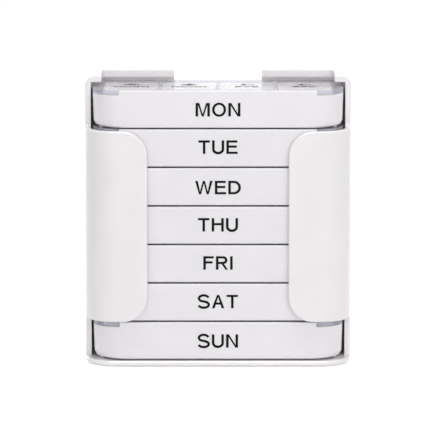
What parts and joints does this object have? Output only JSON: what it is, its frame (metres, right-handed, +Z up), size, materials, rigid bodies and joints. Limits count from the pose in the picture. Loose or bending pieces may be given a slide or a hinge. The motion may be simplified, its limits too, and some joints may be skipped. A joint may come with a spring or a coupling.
{
  "type": "weekly pill organizer",
  "caption": "Upright white magazine that holds a stack of flat day boxes behind curved front wings; each box has clear flaps over its compartments, and the end boxes slide out forward.",
  "frame": {"origin": "centre of the underside, on the surface that the organizer stands on", "axes": "+Z up, +X to the right seen from the front, front looks along -Y"},
  "size_m": [0.138, 0.0462, 0.1508],
  "materials": {
    "holder_white": "white moulded plastic, satin gloss",
    "tray_white": "white moulded plastic, satin gloss",
    "lid_clear": "clear moulded polystyrene, polished",
    "flap_clear": "clear moulded polystyrene, polished"
  },
  "bodies": {
    "holder": {"holder": "holder_white", "tuesday_tray": "tray_white", "tuesday_lid_frame": "lid_clear", "tuesday_flap_1": "flap_clear", "tuesday_flap_2": "flap_clear", "tuesday_flap_3": "flap_clear", "tuesday_flap_4": "flap_clear", "wednesday_tray": "tray_white", "wednesday_lid_frame": "lid_clear", "wednesday_flap_1": "flap_clear", "wednesday_flap_2": "flap_clear", "wednesday_flap_3": "flap_clear", "wednesday_flap_4": "flap_clear", "thursday_tray": "tray_white", "thursday_lid_frame": "lid_clear", "thursday_flap_1": "flap_clear", "thursday_flap_2": "flap_clear", "thursday_flap_3": "flap_clear", "thursday_flap_4": "flap_clear", "friday_tray": "tray_white", "friday_lid_frame": "lid_clear", "friday_flap_1": "flap_clear", "friday_flap_2": "flap_clear", "friday_flap_3": "flap_clear", "friday_flap_4": "flap_clear", "saturday_tray": "tray_white", "saturday_lid_frame": "lid_clear", "saturday_flap_1": "flap_clear", "saturday_flap_2": "flap_clear", "saturday_flap_3": "flap_clear", "saturday_flap_4": "flap_clear"},
    "monday_drawer": {"monday_tray": "tray_white", "monday_lid_frame": "lid_clear"},
    "sunday_drawer": {"sunday_tray": "tray_white", "sunday_lid_frame": "lid_clear", "sunday_flap_1": "flap_clear", "sunday_flap_2": "flap_clear", "sunday_flap_3": "flap_clear", "sunday_flap_4": "flap_clear"},
    "monday_lid_1": {"monday_flap_1": "flap_clear"},
    "monday_lid_2": {"monday_flap_2": "flap_clear"},
    "monday_lid_3": {"monday_flap_3": "flap_clear"},
    "monday_lid_4": {"monday_flap_4": "flap_clear"}
  },
  "joints": [
    {"name": "monday_slide", "type": "slide", "parent": "holder", "child": "monday_drawer", "axis": [0, -1, 0], "range_m": [0, 0.045]},
    {"name": "sunday_slide", "type": "slide", "parent": "holder", "child": "sunday_drawer", "axis": [0, -1, 0], "range_m": [0, 0.045]},
    {"name": "monday_flap_1_hinge", "type": "hinge", "parent": "monday_drawer", "child": "monday_lid_1", "pos_m": [-0.045, 0.0114, 0.14345], "axis": [-1, 0, 0], "range_deg": [0, 95]},
    {"name": "monday_flap_2_hinge", "type": "hinge", "parent": "monday_drawer", "child": "monday_lid_2", "pos_m": [-0.015, 0.0114, 0.14345], "axis": [-1, 0, 0], "range_deg": [0, 95]},
    {"name": "monday_flap_3_hinge", "type": "hinge", "parent": "monday_drawer", "child": "monday_lid_3", "pos_m": [0.015, 0.0114, 0.14345], "axis": [-1, 0, 0], "range_deg": [0, 95]},
    {"name": "monday_flap_4_hinge", "type": "hinge", "parent": "monday_drawer", "child": "monday_lid_4", "pos_m": [0.045, 0.0114, 0.14345], "axis": [-1, 0, 0], "range_deg": [0, 95]}
  ]
}
